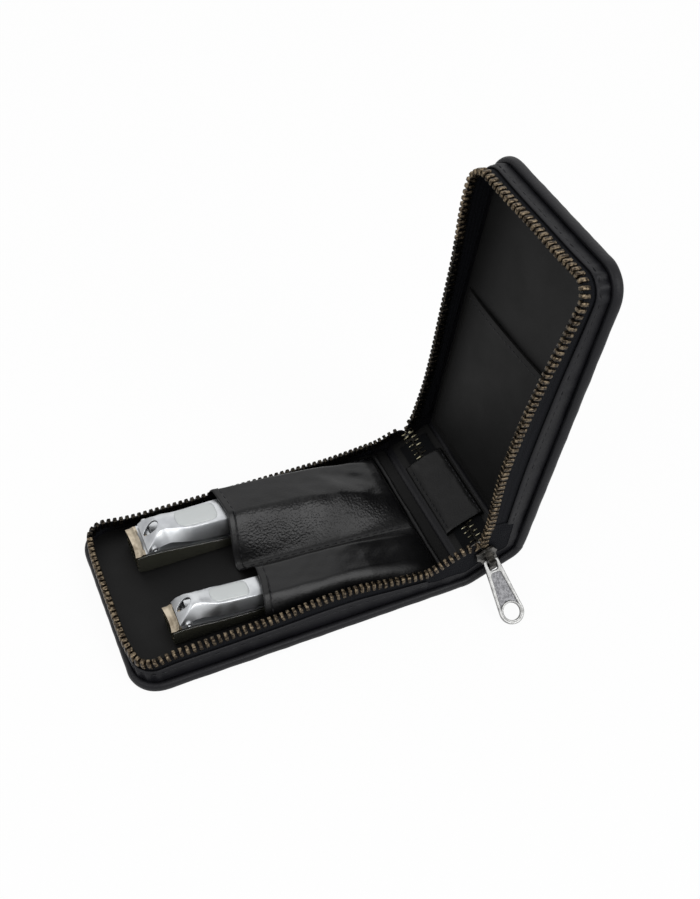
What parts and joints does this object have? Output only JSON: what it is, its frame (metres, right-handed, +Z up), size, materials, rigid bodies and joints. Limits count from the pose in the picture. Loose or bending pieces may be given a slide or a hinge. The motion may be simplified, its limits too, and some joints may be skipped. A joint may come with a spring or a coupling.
{
  "type": "manicure set case",
  "caption": "Zip-around black leather manicure case standing open, with nail clippers held in leather sleeves, a slip pocket in the lid and a zip slider with a pull tab.",
  "frame": {"origin": "centre of the flat underside of the base cover", "axes": "+Z up; the base's long side runs along X with its free end at -X and the fold line at +X; Y along the fold lines, the slider at -Y"},
  "size_m": [0.1524, 0.0918, 0.1322],
  "materials": {
    "black_leather": "smooth grained leather, soft sheen",
    "pocket_leather": "soft glossy pebbled leather",
    "lining_leather": "smooth matte lining",
    "card": "grey-brown board",
    "zip_tape": "woven tape",
    "zip_metal": "antique brass",
    "slider_metal": "worn nickel plate",
    "satin_steel": "satin polished steel",
    "smoke_plastic": "smoky plastic",
    "plate_white": "pale satin"
  },
  "bodies": {
    "base": {"base_cover": "black_leather", "base_board": "card", "base_lining": "lining_leather", "base_gusset": "black_leather", "base_zipper_tape": "zip_tape", "base_zipper_teeth": "zip_metal", "pocket_panel": "pocket_leather", "pocket_end_binding": "black_leather"},
    "spine": {"spine_cover": "black_leather", "spine_board": "card", "spine_lining": "lining_leather", "spine_gusset": "black_leather", "spine_zipper_teeth": "zip_metal", "spine_zipper_tape": "zip_tape", "spine_band": "black_leather"},
    "lid": {"lid_cover": "black_leather", "lid_board": "card", "lid_lining": "lining_leather", "lid_gusset": "black_leather", "lid_zipper_tape": "zip_tape", "lid_zipper_teeth": "zip_metal", "lid_pocket_panel": "lining_leather"},
    "slider": {"slider_body": "slider_metal", "slider_crown": "slider_metal"},
    "pull": {"pull_tab": "slider_metal"},
    "large_clipper": {"large_catcher": "smoke_plastic", "large_lower_jaw": "satin_steel", "large_rear_rivet": "satin_steel", "large_post": "satin_steel"},
    "large_jaw": {"large_upper_jaw": "satin_steel"},
    "large_lever_arm": {"large_lever": "satin_steel", "large_lever_axle": "satin_steel", "large_label_plate": "plate_white"},
    "small_clipper": {"small_catcher": "smoke_plastic", "small_lower_jaw": "satin_steel", "small_rear_rivet": "satin_steel", "small_post": "satin_steel"},
    "small_jaw": {"small_upper_jaw": "satin_steel"},
    "small_lever_arm": {"small_lever": "satin_steel", "small_lever_axle": "satin_steel", "small_label_plate": "plate_white"}
  },
  "joints": [
    {"name": "spine_fold", "type": "hinge", "parent": "base", "child": "spine", "pos_m": [0.061, 0, 0.0006], "axis": [0, -1, 0], "range_deg": [-26.3, 63.7]},
    {"name": "lid_fold", "type": "hinge", "parent": "spine", "child": "lid", "pos_m": [0.0809, 0, 0.01044], "axis": [0, -1, 0], "range_deg": [-59, 31]},
    {"name": "slider_travel", "type": "slide", "parent": "spine", "child": "slider", "axis": [-0.4431, 0, 0.8965], "range_m": [0, 0.092]},
    {"name": "pull_swing", "type": "hinge", "parent": "slider", "child": "pull", "pos_m": [0.06755, -0.0357, 0.01239], "axis": [0.994, 0, 0.1097], "range_deg": [-100, 42]},
    {"name": "large_clipper_slide", "type": "slide", "parent": "base", "child": "large_clipper", "axis": [-1, 0, 0], "range_m": [0, 0.009]},
    {"name": "large_jaw_squeeze", "type": "hinge", "parent": "large_clipper", "child": "large_jaw", "pos_m": [0.02566, 0.0171, 0.00781], "axis": [0, -1, 0], "range_deg": [0, 1.1], "stiffness_Nm_per_rad": 6},
    {"name": "large_lever_lift", "type": "hinge", "parent": "large_clipper", "child": "large_lever_arm", "pos_m": [-0.03699, 0.0171, 0.0144], "axis": [0, -1, 0], "range_deg": [0, 1.2]},
    {"name": "small_clipper_slide", "type": "slide", "parent": "base", "child": "small_clipper", "axis": [-1, 0, 0], "range_m": [0, 0.009]},
    {"name": "small_jaw_squeeze", "type": "hinge", "parent": "small_clipper", "child": "small_jaw", "pos_m": [0.0172, -0.0163, 0.00741], "axis": [0, -1, 0], "range_deg": [0, 1.1], "stiffness_Nm_per_rad": 6},
    {"name": "small_lever_lift", "type": "hinge", "parent": "small_clipper", "child": "small_lever_arm", "pos_m": [-0.03628, -0.0163, 0.01347], "axis": [0, -1, 0], "range_deg": [0, 1.2]}
  ]
}
